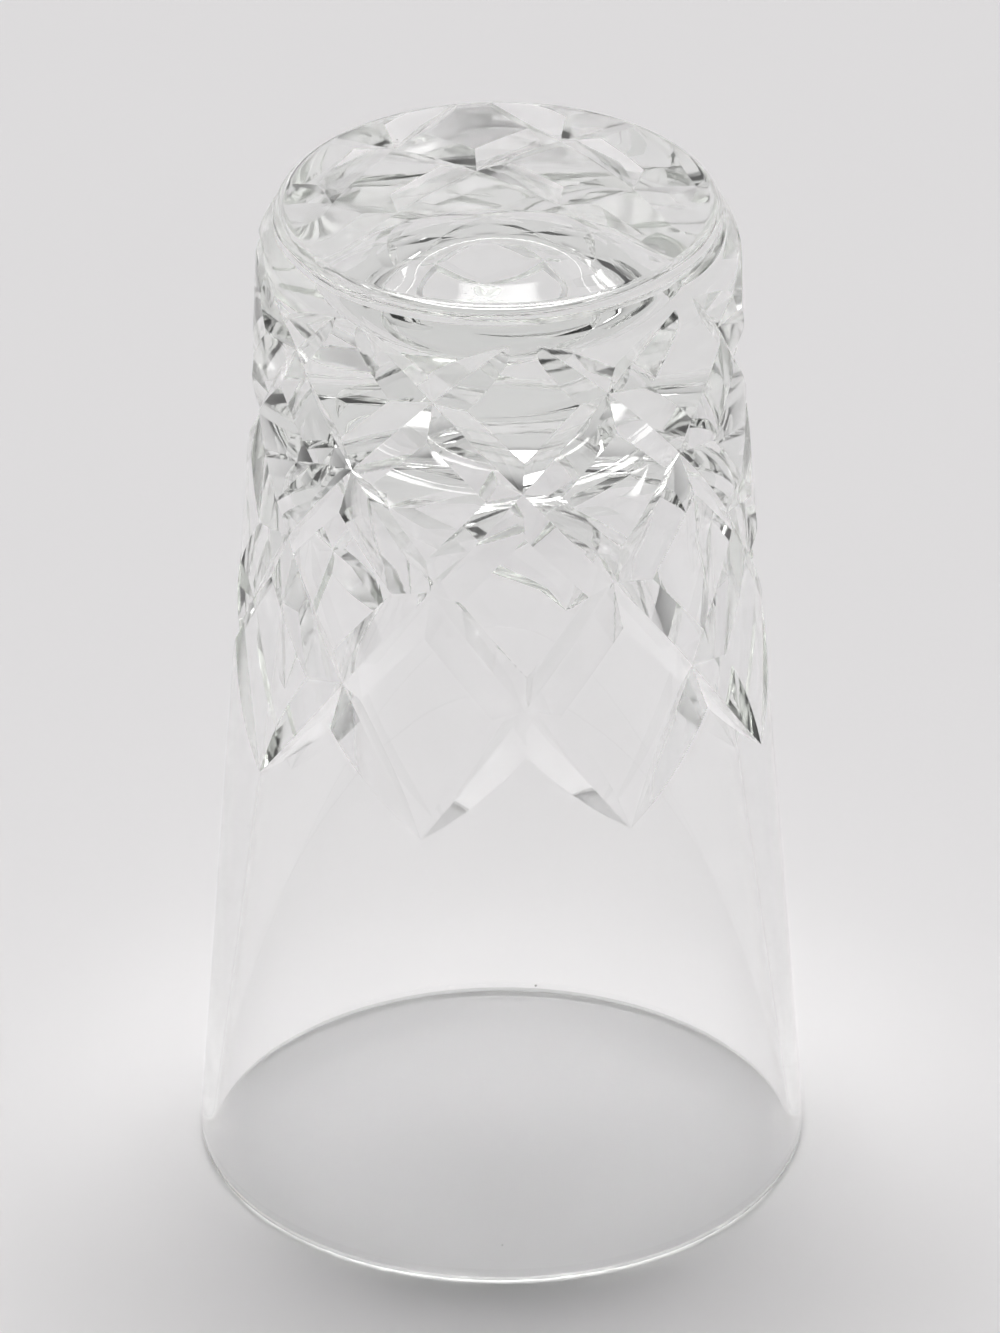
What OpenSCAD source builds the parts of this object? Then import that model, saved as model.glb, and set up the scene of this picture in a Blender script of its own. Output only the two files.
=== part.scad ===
// Cut-glass spirit tumbler, standing rim down.
// The origin is the centre of the rim on the surface that it stands on, and +Z runs up to the foot.
// The glass is one piece: a revolved blank with two mirrored families of V-shaped cuts around it.

/* [Body] */
// Height from the rim to the foot
body_h = 121; // [90:1:160]
// Outside diameter at the rim
rim_d = 70; // [60:1:90]
// Diameter that the straight side would reach at the foot
base_d = 52; // [40:1:60]
// Thickness of the rounded lip
lip_t = 2.4; // [1.6:0.1:3.6]
// Height of the heel band, where the side tapers less
heel_h = 24; // [16:1:36]
// How far the heel band stands out from the straight side, measured level with the foot
heel_out = 0.9; // [0:0.1:1.5]

/* [Foot] */
// Thickness of the solid glass under the cup
base_t = 20; // [12:1:30]
// Radius of the shoulder where the heel band turns in to the foot
shoulder_round = 6; // [4:0.5:9]
// Height of the foot bead
foot_h = 2.2; // [1.8:0.1:4]
// How far the foot bead stands in from the straight side
foot_inset = 0.9; // [0.6:0.1:2.5]
// Edge radius of the foot bead
foot_edge = 1.6; // [0.8:0.1:2.2]
// Width of the flat ring that the upright tumbler stands on
foot_land = 1.8; // [1:0.1:4]
// Depth of the shallow hollow under the base
punt_depth = 1.2; // [0.4:0.1:3]

/* [Cup] */
// Thickness of the wall beside the round at the cup's end
end_wall = 6.2; // [4:0.1:8]
// Radius of the round at the cup's end
cup_round = 18; // [8:0.5:20]

/* [Cuts] */
// Number of cuts that lean each way
cut_count = 8; // [6:1:14]
// Depth of a cut at its middle
cut_depth = 1.9; // [0.8:0.1:2.4]
// Angle between the two flanks of a cut
cut_angle = 120; // [100:2:130]
// Distance from the foot to the upper tips of the cuts
cut_foot_gap = 2.6; // [1:0.2:10]
// Height of the band that the cuts fill
cut_band_h = 62.5; // [35:0.5:70]
// How far the middle of a cut bows away from the straight line between its tips
cut_bow = 5; // [0:0.5:10]
// Number of crossings that a cut passes between its tips
cut_crossings = 4; // [2:1:4]
// Angle from +X to the middle of the first cut
cut_start = 17; // [0:1:60]

/* [Hidden] */
$fn = 144;

rim_r = rim_d / 2;
base_r = base_d / 2;
lip_r = lip_t / 2;
foot_r = base_r - foot_inset;
punt_edge_r = foot_r - foot_edge - foot_land;
floor_z = body_h - base_t;

// The straight side is the tangent from the foot's corner to the lip's circle
lip_centre = [rim_r - lip_r, lip_r];
side_run = [lip_centre.x - base_r, body_h - lip_centre.y];
side_angle = atan2(side_run.x, side_run.y) + asin(lip_r / norm(side_run));
side_normal = [cos(side_angle), sin(side_angle)];
side_start = lip_centre + lip_r * side_normal;

// The heel band is a steeper cone that starts on the straight side
heel_z = body_h - heel_h;
heel_angle = atan2(side_r(heel_z) - base_r - heel_out, heel_h);
heel_normal = [cos(heel_angle), sin(heel_angle)];
heel_start = [side_r(heel_z), heel_z];

// The cup's wall is the tangent that crosses from the lip's circle to the circle at the cup's end
cup_centre = [side_r(floor_z - cup_round) - end_wall - cup_round, floor_z - cup_round];
cup_run = [lip_centre.x - cup_centre.x, cup_centre.y - lip_centre.y];
cup_angle = atan2(cup_run.x, cup_run.y) - asin((lip_r + cup_round) / norm(cup_run));
cup_normal = [cos(cup_angle), sin(cup_angle)];
cup_start = lip_centre - lip_r * cup_normal;
cup_turn = cup_centre + cup_round * cup_normal;

// The shoulder's circle touches the heel band, and crosses the bead's wall where the bead starts
bead_z = body_h - foot_h;
shoulder_centre = shoulder_seat(bead_z);
shoulder_touch = shoulder_centre + shoulder_round * heel_normal;

// The hollow under the base is a shallow cap of a large ball
punt_r = (pow(punt_edge_r, 2) + pow(punt_depth, 2)) / (2 * punt_depth);

// A cut is a row of triangles that follow the side, with its apex in the glass and its back in the air
pitch = 360 / cut_count;
half_turn = pitch * (cut_crossings + 1) / 4;
runout_turn = half_turn - pitch / 2;
overrun = 1.05;
cut_steps = 18;
cut_lift = 1.2;
cut_top_z = body_h - cut_foot_gap;
cut_low_z = cut_top_z - cut_band_h;

// Radius at height z of the straight side, of the heel band, and of whichever is outermost there
function side_r(z) = side_start.x - (z - side_start.y) * tan(side_angle);
function heel_r(z) = heel_start.x - (z - heel_z) * tan(heel_angle);
function outer_r(z) = z < heel_z ? side_r(z) : heel_r(z);

// Centre of the shoulder's circle: on the line one radius inside the heel, below where the bead starts
function shoulder_seat(z) =
    let (drop = sqrt(pow(shoulder_round, 2) - pow(foot_r - seat_x(z), 2)))
    [seat_x(z - drop), z - drop];
function seat_x(z) = heel_r(z) - shoulder_round / cos(heel_angle);

// Height of a cut's line, turn degrees round from its middle
function cut_z(turn) =
    let (share = turn / half_turn)
    (cut_top_z + cut_low_z) / 2 - share * cut_band_h / 2 + cut_bow * (1 - share * share);

// Depth of a cut, full between its outer crossings and running out to nothing at its tips
function cut_d(turn) =
    let (run = max(0, (abs(turn) - runout_turn) / (half_turn - runout_turn)))
    cut_depth * (1 - run * run);

// Point on the outside, and the direction out of the glass there
function side_point(turn, z) = [outer_r(z) * cos(turn), outer_r(z) * sin(turn), z];
function side_out(turn) = [cos(side_angle) * cos(turn), cos(side_angle) * sin(turn), sin(side_angle)];
function unit(v) = v / norm(v);

// The three corners of the cutter where a cut has turned by the given angle
function cut_corners(turn) =
    let (
        here = side_point(turn, cut_z(turn)),
        out = side_out(turn),
        along = unit(side_point(turn + 0.1, cut_z(turn + 0.1)) - here),
        across = cross(out, along),
        depth = cut_d(turn),
        back = here + cut_lift * out,
        half_w = (depth + cut_lift) * tan(cut_angle / 2)
    )
    [here - depth * out, back + half_w * across, back - half_w * across];

// The section of the glass, from the axis outwards
module glass_section() {
    difference() {
        union() {
            polygon([
                cup_start, side_start, heel_start, shoulder_touch, shoulder_centre,
                [0, shoulder_centre.y], [0, cup_turn.y], cup_turn
            ]);
            translate(lip_centre) circle(r = lip_r);
            translate(shoulder_centre) circle(r = shoulder_round);
            translate([0, shoulder_centre.y])
                square([foot_r, body_h - foot_edge - shoulder_centre.y]);
            translate([foot_r - foot_edge, body_h - foot_edge]) circle(r = foot_edge);
            translate([0, shoulder_centre.y])
                square([foot_r - foot_edge, body_h - shoulder_centre.y]);
        }
        // The shoulder's circle is wider than the bead, so its top is trimmed level with the foot
        translate([0, body_h]) square([foot_r, shoulder_round]);
        translate(cup_centre) circle(r = cup_round);
        translate([0, cup_centre.y]) square([cup_centre.x, cup_round]);
        translate([0, body_h - punt_depth + punt_r]) circle(r = punt_r, $fn = 720);
    }
}

// One cutter
module cut() {
    turns = [for (i = [0 : cut_steps]) half_turn * overrun * (2 * i / cut_steps - 1)];
    corners = [for (turn = turns) each cut_corners(turn)];
    last = 3 * cut_steps;
    sides = [
        for (i = [0 : cut_steps - 1]) for (k = [0 : 2])
            let (a = 3 * i + k, b = 3 * i + (k + 1) % 3)
            each [[b, a, b + 3], [b + 3, a, a + 3]]
    ];
    ends = [[0, 1, 2], [last + 2, last + 1, last]];
    polyhedron(points = corners, faces = concat(sides, ends));
}

// Both families of cuts, set half a pitch apart so that they cross on the same heights
module cuts() {
    for (i = [0 : cut_count - 1]) {
        rotate(cut_start + i * pitch) cut();
        rotate(cut_start + (i + 0.5) * pitch) mirror([0, 1, 0]) cut();
    }
}

module tumbler() {
    color([0.86, 0.89, 0.88, 0.45]) difference() {
        rotate_extrude() glass_section();
        cuts();
    }
}

tumbler();
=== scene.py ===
# %% [markdown]
# A cut-glass tumbler stands rim down on a pale surface. The glass is one solid: a tapered body with a
# thick base, a round-ended cup inside it, and V-shaped cuts that wheel grinding left round the lower half.
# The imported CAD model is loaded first, because every size and place here has to agree with it.

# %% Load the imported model
import math

import bpy
import numpy as np
from mathutils import Euler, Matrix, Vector


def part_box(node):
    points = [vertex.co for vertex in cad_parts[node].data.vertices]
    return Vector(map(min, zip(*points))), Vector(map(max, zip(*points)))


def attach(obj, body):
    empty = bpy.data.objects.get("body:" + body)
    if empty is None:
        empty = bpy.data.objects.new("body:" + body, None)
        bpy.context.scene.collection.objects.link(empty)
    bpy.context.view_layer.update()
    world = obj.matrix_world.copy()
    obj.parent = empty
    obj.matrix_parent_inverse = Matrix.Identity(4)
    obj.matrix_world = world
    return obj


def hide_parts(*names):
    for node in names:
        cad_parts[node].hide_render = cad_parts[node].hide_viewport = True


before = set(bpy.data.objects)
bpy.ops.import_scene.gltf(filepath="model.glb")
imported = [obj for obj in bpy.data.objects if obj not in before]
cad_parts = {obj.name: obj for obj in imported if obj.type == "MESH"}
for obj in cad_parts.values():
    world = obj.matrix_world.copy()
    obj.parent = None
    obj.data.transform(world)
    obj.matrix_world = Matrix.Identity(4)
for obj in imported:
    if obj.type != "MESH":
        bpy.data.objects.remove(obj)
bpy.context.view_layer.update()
low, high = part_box("tumbler")
print("CAD box, mm:", [round(1000 * side, 1) for side in high - low])

# %% [markdown]
# Glass can't be judged from a coarse mesh, because each facet of a curved wall bends what is seen through it.
# So the shape is made again here at a fine resolution, from the same few sizes as the CAD model.
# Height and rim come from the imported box. The rest are millimetres, named as they are in the CAD source.

# %% Sizes of the tumbler
MM = 0.001
body_h = high.z / MM
rim_r = min(high.x, high.y) / MM
base_r = 26.0
lip_r = 1.2
heel_h = 24.0
heel_out = 0.9
base_t = 20.0
shoulder_round = 6.0
foot_h = 2.2
foot_r = base_r - 0.9
foot_edge = 1.6
foot_land = 1.8
punt_depth = 1.2
end_wall = 6.2
cup_round = 18.0

cut_count = 8
cut_depth = 1.9
cut_half_angle = math.radians(60)
cut_foot_gap = 2.6
cut_band_h = 62.5
cut_bow = 5.0
cut_crossings = 4
cut_start = math.radians(17)
print("height", round(body_h, 2), "mm, rim", round(2 * rim_r, 2), "mm,", 2 * cut_count, "cuts")

# %% [markdown]
# The outline is drawn once, as half of a slice through the axis, and then turned. A wall's straight stretch is
# the line that just touches the circles at its two ends, which is how a turned or blown wall meets its rounds.
# Two short helpers give that line's direction and the points along an arc.

# %% Outline helpers
def radial(angle):
    return np.array([math.cos(angle), math.sin(angle)])


def tangent_angle(near, far, near_r, far_r):
    """Angle of the normal of a line that touches a circle at near, and one at far on its other side."""
    run = near - far
    return math.atan2(run[0], -run[1]) - math.asin((near_r + far_r) / math.hypot(*run))


def arc(centre, radius, start, stop, steps):
    return [centre + radius * radial(start + (stop - start) * i / steps) for i in range(steps + 1)]


lip_centre = np.array([rim_r - lip_r, lip_r])
side_angle = tangent_angle(lip_centre, np.array([base_r, body_h]), -lip_r, 0)
side_touch = lip_centre + lip_r * radial(side_angle)


def side_r(z):
    return side_touch[0] - (z - side_touch[1]) * math.tan(side_angle)


heel_z = body_h - heel_h
heel_start = np.array([side_r(heel_z), heel_z])
heel_angle = math.atan2(heel_start[0] - base_r - heel_out, heel_h)


def heel_r(z):
    return heel_start[0] - (z - heel_z) * math.tan(heel_angle)


def outer_r(z):
    return np.where(z < heel_z, side_r(z), heel_r(z))


print("side leans", round(math.degrees(side_angle), 2), "degrees, heel", round(math.degrees(heel_angle), 2))

# %% [markdown]
# Now the whole outline, from the middle of the cup's floor, down the inside wall, round the lip, up the outside,
# over the shoulder and the foot, and in to the middle of the shallow hollow under the base.
# Arcs get many short steps, and straight walls a row every few millimetres, so that triangles stay well shaped.

# %% The outline of the glass
floor_z = body_h - base_t
cup_z = floor_z - cup_round
cup_centre = np.array([side_r(cup_z) - end_wall - cup_round, cup_z])
cup_angle = tangent_angle(lip_centre, cup_centre, lip_r, cup_round)
cup_end = cup_centre + cup_round * radial(cup_angle)

seat_in = shoulder_round / math.cos(heel_angle)
bead_z = body_h - foot_h
shoulder_drop = math.sqrt(shoulder_round ** 2 - (foot_r - heel_r(bead_z) + seat_in) ** 2)
shoulder_z = bead_z - shoulder_drop
shoulder_centre = np.array([heel_r(shoulder_z) - seat_in, shoulder_z])
shoulder_stop = math.acos((foot_r - shoulder_centre[0]) / shoulder_round)

edge_centre = np.array([foot_r - foot_edge, body_h - foot_edge])
punt_edge_r = foot_r - foot_edge - foot_land
punt_r = (punt_edge_r ** 2 + punt_depth ** 2) / (2 * punt_depth)
punt_centre = np.array([0, body_h - punt_depth + punt_r])
punt_half = math.asin(punt_edge_r / punt_r)


def straight(start, stop, steps):
    return [start + (stop - start) * i / steps for i in range(1, steps)]


def glass_outline():
    points = [np.array([0.0, floor_z]), np.array([cup_centre[0] / 2, floor_z])]
    points += arc(cup_centre, cup_round, math.pi / 2, cup_angle, 24)
    points += straight(cup_end, lip_centre - lip_r * radial(cup_angle), 16)
    points += arc(lip_centre, lip_r, math.pi + cup_angle, 2 * math.pi + side_angle, 20)
    shoulder_touch = shoulder_centre + shoulder_round * radial(heel_angle)
    points += straight(side_touch, heel_start, 20) + [heel_start] + straight(heel_start, shoulder_touch, 4)
    points += arc(shoulder_centre, shoulder_round, heel_angle, shoulder_stop, 12)
    points += arc(edge_centre, foot_edge, 0, math.pi / 2, 10)
    points += arc(punt_centre, punt_r, punt_half - math.pi / 2, -math.pi / 2, 12)[:-1]
    return points + [np.array([0.0, body_h - punt_depth])]


outline = glass_outline()
print("outline:", len(outline), "points; cup floor at", round(floor_z, 1), "mm")

# %% [markdown]
# A lathe turns that outline into a closed skin. Blender's Screw modifier would do it, but building the rings one
# by one keeps the two ends as single points on the axis, so the skin is watertight and a cutter can bite into it.

# %% Turn the outline
def lathe(name, points, turns):
    angles = [2 * math.pi * i / turns for i in range(turns)]
    verts = [(0, 0, points[0][1])]
    for r, z in points[1:-1]:
        verts += [(r * math.cos(a), r * math.sin(a), z) for a in angles]
    verts.append((0, 0, points[-1][1]))
    rings = len(points) - 2
    faces = [(0, 1 + (i + 1) % turns, 1 + i) for i in range(turns)]
    for row in range(rings - 1):
        here, there = 1 + row * turns, 1 + (row + 1) * turns
        for i in range(turns):
            j = (i + 1) % turns
            faces.append((here + i, here + j, there + j, there + i))
    last, top = 1 + (rings - 1) * turns, len(verts) - 1
    faces += [(last + i, last + (i + 1) % turns, top) for i in range(turns)]
    mesh = bpy.data.meshes.new(name)
    mesh.from_pydata([Vector(v) * MM for v in verts], [], faces)
    piece = bpy.data.objects.new(name, mesh)
    bpy.context.scene.collection.objects.link(piece)
    return piece


glass = lathe("cut_glass_tumbler", outline, 400)
print("blank:", len(glass.data.polygons), "faces")

# %% [markdown]
# The cutter holds the glass to a V-edged wheel and rolls it as the cut climbs. So the groove keeps its V square
# to the surface, and it gets shallower to nothing at its two tips. A planar slice can't do that: it would skew.
# Instead, a triangle is carried along the cut's line, with its apex in the glass and its back in the air.

# %% One cutter
pitch = 2 * math.pi / cut_count
half_turn = pitch * (cut_crossings + 1) / 4
runout_turn = half_turn - pitch / 2
cut_top_z = body_h - cut_foot_gap
cut_low_z = cut_top_z - cut_band_h
CUT_LIFT = 1.2
OVERRUN = 1.05


def cut_z(turn):
    share = turn / half_turn
    return (cut_top_z + cut_low_z) / 2 - share * cut_band_h / 2 + cut_bow * (1 - share ** 2)


def cut_d(turn):
    run = max(0.0, (abs(turn) - runout_turn) / (half_turn - runout_turn))
    return cut_depth * (1 - run ** 2)


def side_point(turn, z):
    return np.array([outer_r(z) * math.cos(turn), outer_r(z) * math.sin(turn), z])


def cut_corners(turn):
    here = side_point(turn, cut_z(turn))
    out = np.array([math.cos(side_angle) * math.cos(turn), math.cos(side_angle) * math.sin(turn),
                    math.sin(side_angle)])
    along = side_point(turn + 0.001, cut_z(turn + 0.001)) - here
    across = np.cross(out, along / np.linalg.norm(along))
    half_w = (cut_d(turn) + CUT_LIFT) * math.tan(cut_half_angle)
    back = here + CUT_LIFT * out
    return [here - cut_d(turn) * out, back + half_w * across, back - half_w * across]


def cutter(name, turned, lean, steps=96):
    """lean is 1 for a cut that falls to the right, -1 for its mirror image, whose faces are turned over."""
    turns = [half_turn * OVERRUN * (2 * i / steps - 1) for i in range(steps + 1)]
    cos, sin = math.cos(turned), math.sin(turned)
    spin = np.array([[cos, -sin, 0], [sin, cos, 0], [0, 0, 1]])
    verts = [spin @ (corner * [1, lean, 1]) * MM for turn in turns for corner in cut_corners(turn)]
    faces = [(3 * i + k, 3 * i + (k + 1) % 3, 3 * i + 3 + (k + 1) % 3, 3 * i + 3 + k)
             for i in range(steps) for k in range(3)]
    faces += [(2, 1, 0), (3 * steps, 3 * steps + 1, 3 * steps + 2)]
    if lean < 0:
        faces = [face[::-1] for face in faces]
    mesh = bpy.data.meshes.new(name)
    mesh.from_pydata(verts, [], faces)
    tool = bpy.data.objects.new(name, mesh)
    bpy.context.scene.collection.objects.link(tool)
    return tool


groove_w = 2 * cut_depth * math.tan(cut_half_angle)
print("a groove is", cut_depth, "mm deep and", round(groove_w, 1), "mm wide at its middle")

# %% [markdown]
# Eight cuts lean each way, and the two families cross on the same heights, which leaves rows of flat diamonds.
# Each cutter is taken from the blank with a Boolean modifier. Its faces come in with a material slot of their
# own, which is only a tag: it tells the ground faces of a cut from the polished skin beside them.

# %% Grind the cuts
SKIN, FALLS_RIGHT, FALLS_LEFT = 0, 1, 2
tags = [bpy.data.materials.new(name) for name in ("skin", "falls_right", "falls_left")]
for tag in tags:
    glass.data.materials.append(tag)


def first_turn(lean):
    return cut_start if lean > 0 else cut_start + pitch / 2


tools = []
for i in range(cut_count):
    for lean, index in ((1, FALLS_RIGHT), (-1, FALLS_LEFT)):
        tool = cutter(f"wheel_{i}_{index}", first_turn(lean) + pitch * i, lean)
        for tag in tags:
            tool.data.materials.append(tag)
        tool.data.polygons.foreach_set("material_index", [index] * len(tool.data.polygons))
        bite = glass.modifiers.new(tool.name, "BOOLEAN")
        bite.operation = "DIFFERENCE"
        bite.object = tool
        bite.solver = "MANIFOLD"
        tools.append(tool)

ground = bpy.data.meshes.new_from_object(glass.evaluated_get(bpy.context.evaluated_depsgraph_get()))
glass.modifiers.clear()
glass.data = ground
for tool in tools:
    bpy.data.objects.remove(tool)
by_tag = np.zeros(len(ground.polygons), int)
ground.polygons.foreach_get("material_index", by_tag)
print("ground:", len(ground.polygons), "faces;", np.bincount(by_tag), "skin, falling right, falling left")
ground.polygons.foreach_set("use_smooth", [True] * len(ground.polygons))
ground.set_sharp_from_angle(angle=math.radians(20))

# %% [markdown]
# A stone wheel leaves fine lines that run along the cut. To draw them, each ground face needs coordinates along
# and across its own cut. They go into a UV map, worked out from the height and the angle round the axis.
# The polished skin gets one far-off point in that map, so a shader can tell the two surfaces apart.
# A face belongs to the cut whose line passes nearest to its middle. One material then serves the whole glass.
# That matters, because light that goes in through one material and leaves through another would carry the first
# one's colour on through the air.

# %% Lay out the ground faces
OFF_MAP = -10.0
MM_PER_UNIT = 10.0
FAR_AWAY = 1000.0


def turns_from_starts(points, lean):
    """How far each point is turned from the middle of every cut of one family, in the way the cuts fall."""
    starts = first_turn(lean) + pitch * np.arange(cut_count)
    away = np.arctan2(points[:, 1], points[:, 0])[:, None] - starts
    return (lean * away + np.pi) % (2 * np.pi) - np.pi


def read_all(items, name, kind, width=1):
    values = np.zeros(width * len(items), kind)
    items.foreach_get(name, values)
    return values


def lay_out(mesh, tag_of):
    corners = read_all(mesh.loops, "vertex_index", int)
    places = read_all(mesh.vertices, "co", float, 3).reshape(-1, 3)[corners] / MM
    counts = read_all(mesh.polygons, "loop_total", int)
    face_of = np.repeat(np.arange(len(counts)), counts)
    middle = np.stack([np.bincount(face_of, places[:, k]) / counts for k in range(3)], axis=1)
    uv = np.full((len(corners), 2), OFF_MAP)
    for lean, index in ((1, FALLS_RIGHT), (-1, FALLS_LEFT)):
        faces = np.where(tag_of == index)[0]
        face_turns = turns_from_starts(middle[faces], lean)
        miss = np.abs(middle[faces][:, 2:3] - cut_z(face_turns))
        miss += FAR_AWAY * (np.abs(face_turns) > half_turn * OVERRUN)
        nearest = np.zeros(len(mesh.polygons), int)
        nearest[faces] = np.argmin(miss, axis=1)
        mine = np.isin(face_of, faces)
        own_turn = turns_from_starts(places[mine], lean)[np.arange(mine.sum()), nearest[face_of[mine]]]
        uv[mine, 0] = own_turn * side_r(places[mine, 2]) / MM_PER_UNIT
        uv[mine, 1] = (places[mine, 2] - cut_z(own_turn)) / MM_PER_UNIT
        reach = MM_PER_UNIT * np.abs(uv[mine, 1]).max()
        print("lean", lean, "has", len(faces), "faces, up to", round(reach, 1), "mm from their cut's line")
    mesh.uv_layers.new(name="grind").data.foreach_set("uv", uv.ravel())


lay_out(ground, by_tag)
ground.materials.clear()

# %% [markdown]
# Shader maths reads best as ordinary expressions. This small class wraps one socket of a node tree, and each
# operator adds the Math node that it stands for. Any other node comes from node(), which takes its type, its
# settings and the values or links of its sockets.

# %% A socket that does sums
class Wire:
    def __init__(self, tree, socket):
        self.tree, self.socket = tree, socket

    def node(self, kind, settings=None, out=0, **sockets):
        made = self.tree.nodes.new(kind)
        for key, value in (settings or {}).items():
            setattr(made, key, value)
        for key, value in sockets.items():
            socket = made.inputs[int(key[1:])] if key[1:].isdigit() else made.inputs[key.replace("_", " ")]
            if isinstance(value, Wire):
                self.tree.links.new(value.socket, socket)
            else:
                socket.default_value = value
        return Wire(self.tree, made.outputs[out] if made.outputs else None)

    def math(self, operation, first, second=0.0):
        return self.node("ShaderNodeMath", {"operation": operation}, _0=first, _1=second)

    def __add__(self, other):
        return self.math("ADD", self, other)

    __radd__ = __add__

    def __sub__(self, other):
        return self.math("SUBTRACT", self, other)

    def __rsub__(self, other):
        return self.math("SUBTRACT", other, self)

    def __mul__(self, other):
        return self.math("MULTIPLY", self, other)

    __rmul__ = __mul__

    def __truediv__(self, other):
        return self.math("DIVIDE", self, other)

    def __pow__(self, other):
        return self.math("POWER", self, other)

    def above(self, level):
        return self.math("GREATER_THAN", self, level)

    def clamp(self, lowest, highest):
        """Rises from 0 at lowest to 1 at highest, and stays level beyond both."""
        return self.node("ShaderNodeMapRange", {"clamp": True}, _0=self, _1=lowest, _2=highest, _3=0.0, _4=1.0)

    def parts(self):
        split = self.node("ShaderNodeSeparateXYZ", Vector=self)
        return [Wire(self.tree, socket) for socket in split.socket.node.outputs]


def start_tree(block):
    block.use_nodes = True
    tree = block.node_tree
    tree.nodes.clear()
    return Wire(tree, None)


trial = bpy.data.materials.new("trial")
rest = 1 - start_tree(trial).node("ShaderNodeValue") / 2
print("1 - value / 2 ends in", rest.socket.node.operation, "and takes", len(trial.node_tree.nodes), "nodes")
bpy.data.materials.remove(trial)

# %% [markdown]
# Clear glass is mostly what is seen through it, so its detail is in how the surface bends light. The skin is
# taken to be fire polished, and keeps a slow waviness. The base shows fine rings where it was turned, on the
# hollow under the foot and on the cup's rounded end. The cuts keep the wheel's lines. All three are heights that
# add up and feed one Bump node, with each one's own mask and its depth in millimetres. The depths are tiny,
# because a slope of one degree already moves what is seen through the glass.

# %% Surface relief
WAVE_DEPTH = 0.012
RING_DEPTH = 0.0012
LINE_DEPTH = 0.0012


def waviness(wire, spot):
    return wire.node("ShaderNodeTexNoise", Vector=spot, Scale=70.0, Detail=1.0) * WAVE_DEPTH


def turned_rings(wire, spot):
    x, y, z = spot.parts()
    radius = (x * x + y * y) ** 0.5
    uneven = wire.node("ShaderNodeTexNoise", {"noise_dimensions": "1D"}, W=radius, Scale=900.0, Detail=2.0)
    over_hollow = z.clamp((body_h - 1.6) * MM, (body_h - 1.1) * MM)
    inside_ring = 1 - radius.clamp(20 * MM, 22 * MM)
    over_round = z.clamp((floor_z - 4) * MM, (floor_z - 1) * MM)
    under_base = 1 - z.clamp((floor_z + 1) * MM, (floor_z + 2) * MM)
    return (over_hollow * inside_ring + over_round * under_base) * uneven * RING_DEPTH


def wheel_lines(wire, along, across):
    streaks = wire.node("ShaderNodeCombineXYZ", X=along * 0.5, Y=across * 12)
    return wire.node("ShaderNodeTexNoise", {"noise_dimensions": "2D"}, Vector=streaks, Scale=3.0, Detail=3.0)


print("relief depths, mm: skin", WAVE_DEPTH, "rings", RING_DEPTH, "wheel lines", LINE_DEPTH)

# %% [markdown]
# Even a clean glass holds a little dust. Each speck is the middle of a Voronoi cell, kept only where that cell's
# random colour is high, so specks are few. They darken the base colour, which on glass tints what passes through.

# %% Dust
DUST_PICK = 0.93
DUST_CELLS = 260.0
DUST_SIZE = 0.045


def dust(wire, spot):
    kind = "ShaderNodeTexVoronoi"
    near = wire.node(kind, Vector=spot, Scale=DUST_CELLS)
    pick = wire.node(kind, out=1, Vector=spot, Scale=DUST_CELLS).parts()[0]
    return (1 - near.clamp(DUST_SIZE * 0.5, DUST_SIZE)) * pick.above(DUST_PICK)


cell_mm = 1 / (DUST_CELLS * MM)
print("dust: one cell in", round(1 / (1 - DUST_PICK)), "of", round(cell_mm, 1), "mm, specks to",
      round(2 * DUST_SIZE * cell_mm, 2), "mm")

# %% [markdown]
# A Principled shader with full transmission bends light at the skin, and absorption in the volume gives the
# faint grey-green that only thick places show. Roughness is nought on the skin and slight on the ground faces,
# which were polished after grinding and look clear, with a soft streak in their highlights.

# %% Glass
GLASS_IOR = 1.52
GLASS_TINT = (0.84, 0.90, 0.81, 1)
GLASS_DENSITY = 2.2
CLEAN = (1, 1, 1, 1)
DUSTY = (0.2, 0.19, 0.17, 1)


def glass_material(name):
    material = bpy.data.materials.new(name)
    wire = start_tree(material)
    along, across, _ = wire.node("ShaderNodeUVMap", {"uv_map": "grind"}).parts()
    is_ground = across.above(OFF_MAP / 2)
    spot = wire.node("ShaderNodeTexCoord", out=3)
    lines = wheel_lines(wire, along, across)
    relief = waviness(wire, spot) + turned_rings(wire, spot) + is_ground * lines * LINE_DEPTH
    bump = wire.node("ShaderNodeBump", Strength=1.0, Distance=MM, Height=relief)
    tint = wire.node("ShaderNodeMix", {"data_type": "RGBA"}, out=2, _0=dust(wire, spot), _6=CLEAN, _7=DUSTY)
    shader = wire.node("ShaderNodeBsdfPrincipled", Base_Color=tint, Roughness=is_ground * (0.02 + lines * 0.06),
                       Normal=bump)
    sockets = shader.socket.node.inputs
    sockets["IOR"].default_value = GLASS_IOR
    sockets["Transmission Weight"].default_value = 1
    inside = wire.node("ShaderNodeVolumeAbsorption", Color=GLASS_TINT, Density=GLASS_DENSITY)
    wire.node("ShaderNodeOutputMaterial", Surface=shader, Volume=inside)
    print(name, "uses", len(material.node_tree.nodes), "nodes")
    return material


ground.materials.append(glass_material("cut_clear_glass"))

# %% [markdown]
# The floor is one broad sheet of pale card. Its colour and its sheen drift a little from place to place, as they
# do on real card, and a fine grain in the surface keeps it from looking like plain paint.

# %% Floor
FLOOR_R = 6
FLOOR_SIDES = 64
CARD_LIGHT = (0.81, 0.80, 0.81, 1)
CARD_DARK = (0.79, 0.78, 0.79, 1)


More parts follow.
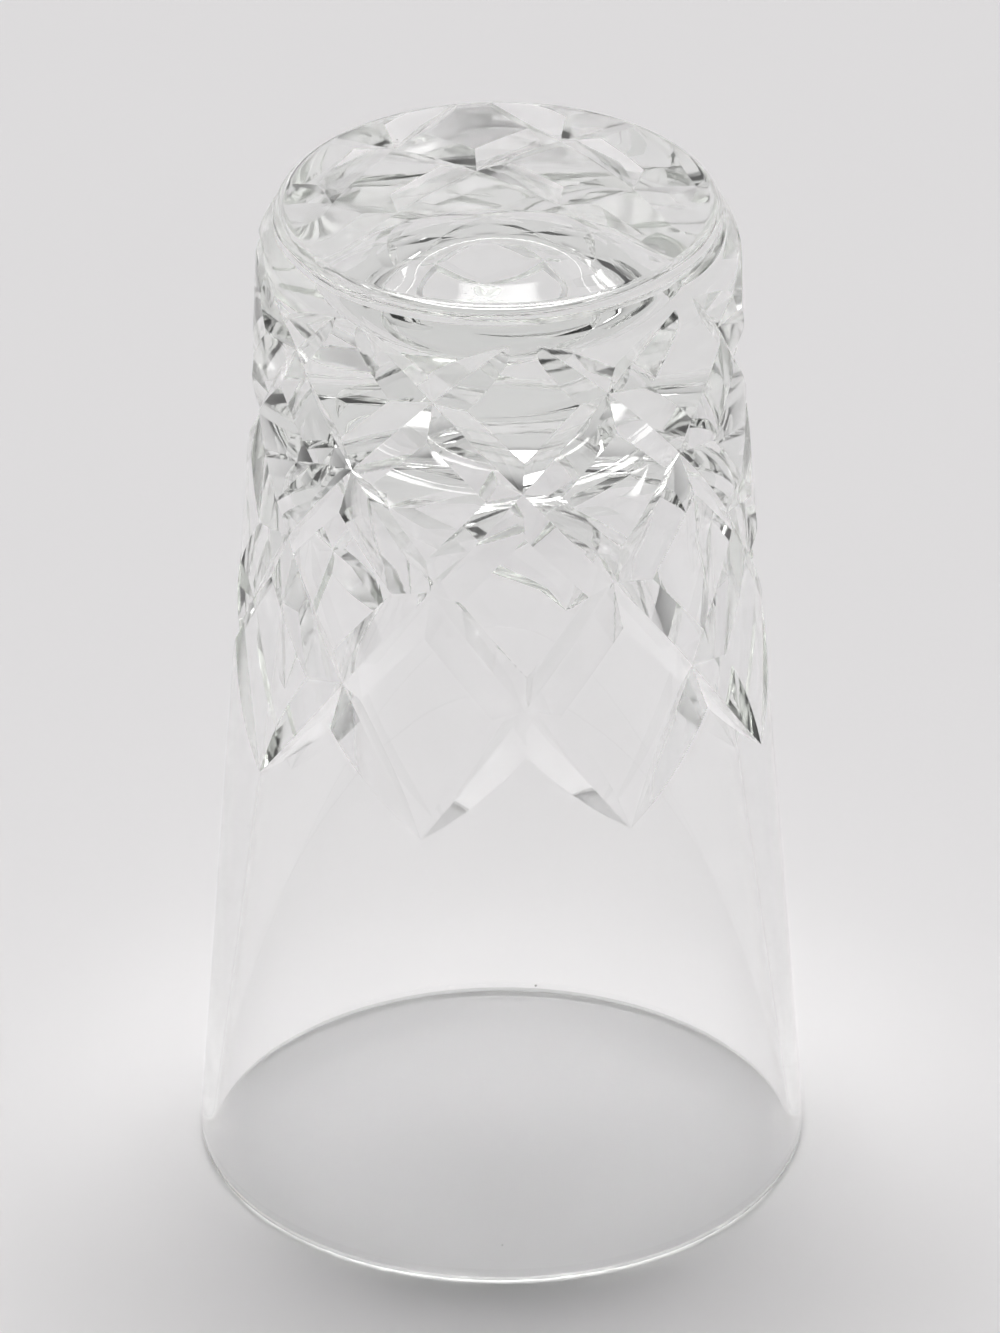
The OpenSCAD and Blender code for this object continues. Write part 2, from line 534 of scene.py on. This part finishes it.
def floor_sheet():
    mesh = bpy.data.meshes.new("pale_floor")
    angles = [2 * math.pi * i / FLOOR_SIDES for i in range(FLOOR_SIDES)]
    ring = [(FLOOR_R * math.cos(a), FLOOR_R * math.sin(a), 0) for a in angles]
    mesh.from_pydata(ring, [], [tuple(range(FLOOR_SIDES))])
    sheet = bpy.data.objects.new("pale_floor", mesh)
    bpy.context.scene.collection.objects.link(sheet)
    material = bpy.data.materials.new("pale_paper")
    wire = start_tree(material)
    spot = wire.node("ShaderNodeTexCoord", out=3)
    drift = wire.node("ShaderNodeTexNoise", Vector=spot, Scale=9.0, Detail=3.0)
    grain = wire.node("ShaderNodeTexNoise", Vector=spot, Scale=900.0, Detail=2.0)
    card = wire.node("ShaderNodeMix", {"data_type": "RGBA"}, out=2, _0=drift, _6=CARD_LIGHT, _7=CARD_DARK)
    bump = wire.node("ShaderNodeBump", Strength=0.1, Distance=0.1 * MM, Height=grain)
    shader = wire.node("ShaderNodeBsdfPrincipled", Base_Color=card, Roughness=0.85 + drift * 0.1, Normal=bump)
    shader.socket.node.inputs["Specular IOR Level"].default_value = 0.1
    wire.node("ShaderNodeOutputMaterial", Surface=shader)
    mesh.materials.append(material)
    return sheet


floor_sheet()
print("floor:", 2 * FLOOR_R, "m across")

# %% [markdown]
# What clear glass shows is its surroundings, so they are drawn with care, as one sky and no lamps.
# Above and a little behind the glass hangs a wide softbox. It is a rectangle on a level ceiling, so dividing a
# direction by its height gives the place where it meets that ceiling. Its light throws the short soft shadow in
# front. The back half of the room is pale, and the half behind the viewer is dim, which is what draws the dark
# facets. Near the horizon the dim half is lifted to an even grey, so the glass has a plain wall behind it from
# every side: pale at the back, and mid grey at the sides and the front.
# Each shape is a product of ramps: a ramp is 0 before its first number, 1 past its second, and soft between.

# %% Studio sky
BOX_STRENGTH = 8.8
BACK_STRENGTH = 0.62
HORIZON_STRENGTH = 0.38
DIM = 0.03

world = bpy.data.worlds.new("studio")
bpy.context.scene.world = world
wire = start_tree(world)
across, along, up = wire.node("ShaderNodeTexCoord").parts()
ceiling_x = (across / up) ** 2
ceiling_y = along / up
box_back = 1 - ceiling_y.clamp(0.46, 0.60)
softbox = (1 - ceiling_x.clamp(0.10, 0.20)) * ceiling_y.clamp(0.06, 0.14) * box_back * up.clamp(0.4, 0.5)
pale_back = along.clamp(-0.15, 0.65)
horizon = 1 - up.clamp(0.04, 0.10)
overhead = up.clamp(0.80, 0.92)
strength = DIM + BACK_STRENGTH * pale_back * (1 - overhead)
strength = strength + HORIZON_STRENGTH * horizon * (1 - pale_back) + BOX_STRENGTH * softbox
glow = wire.node("ShaderNodeBackground", Color=(1.0, 0.995, 0.99, 1), Strength=strength)
wire.node("ShaderNodeOutputWorld", Surface=glow)
print("sky:", len(world.node_tree.nodes), "nodes, softbox", BOX_STRENGTH, "times as bright as plain white")

# %% [markdown]
# A long lens from well back keeps the sides of a tall glass from splaying, and its two ellipses, at the rim and at
# the foot, nearly alike. The camera looks down by a third of a right angle, and leans by a quarter of a degree.

# %% Camera
EYE = (0, -1.1788, 0.7499)
LENS = 324
PITCH_DOWN = math.radians(30.30)
ROLL = math.radians(-0.238)

camera = bpy.data.objects.new("camera", bpy.data.cameras.new("camera"))
bpy.context.scene.collection.objects.link(camera)
camera.data.sensor_width = 36
camera.data.lens = LENS
camera.location = EYE
camera.rotation_euler = Euler((math.pi / 2 - PITCH_DOWN, 0, 0))
camera.rotation_euler.rotate_axis("Z", ROLL)
bpy.context.scene.camera = camera
print("camera:", round(camera.location.length, 2), "m away, looking down",
      round(math.degrees(PITCH_DOWN), 1), "degrees")

# %% [markdown]
# Light that enters thick cut glass is thrown from flank to flank many times before it gets out. Each such turn is
# a bounce, and a path that runs out of bounces comes back black, which leaves dark slivers at the edges. So the
# limits are raised. Glossy blurring is a shortcut that would soften the facets, so it is off.

# %% Light paths
BOUNCES = 48
scene = bpy.context.scene
scene.view_settings.view_transform = "Standard"
scene.cycles.use_denoising = True
scene.cycles.max_bounces = BOUNCES
scene.cycles.transmission_bounces = BOUNCES
scene.cycles.glossy_bounces = BOUNCES
scene.cycles.blur_glossy = 0
print("paths end after", BOUNCES, "bounces")

# %% [markdown]
# The finer mesh has to be the same object as the CAD model, so the two are measured side by side. The volume of
# glass is the sum, over all triangles, of the signed pyramid from the origin.
# The glass is tied to its body, and stands in for the CAD node.

# %% Finish
def volume_mm3(mesh):
    mesh.calc_loop_triangles()
    places = read_all(mesh.vertices, "co", float, 3).reshape(-1, 3) / MM
    a, b, c = (places[read_all(mesh.loop_triangles, "vertices", int, 3).reshape(-1, 3)[:, k]] for k in range(3))
    return float(np.einsum("ij,ij->i", a, np.cross(b, c)).sum() / 6)


fine_mm3 = volume_mm3(ground)
cad_mm3 = volume_mm3(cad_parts["tumbler"].data)
print("glass:", round(fine_mm3), "mm3 here,", round(cad_mm3), "mm3 in CAD, off by",
      round(100 * (fine_mm3 / cad_mm3 - 1), 2), "%")
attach(glass, "root")
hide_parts("tumbler")
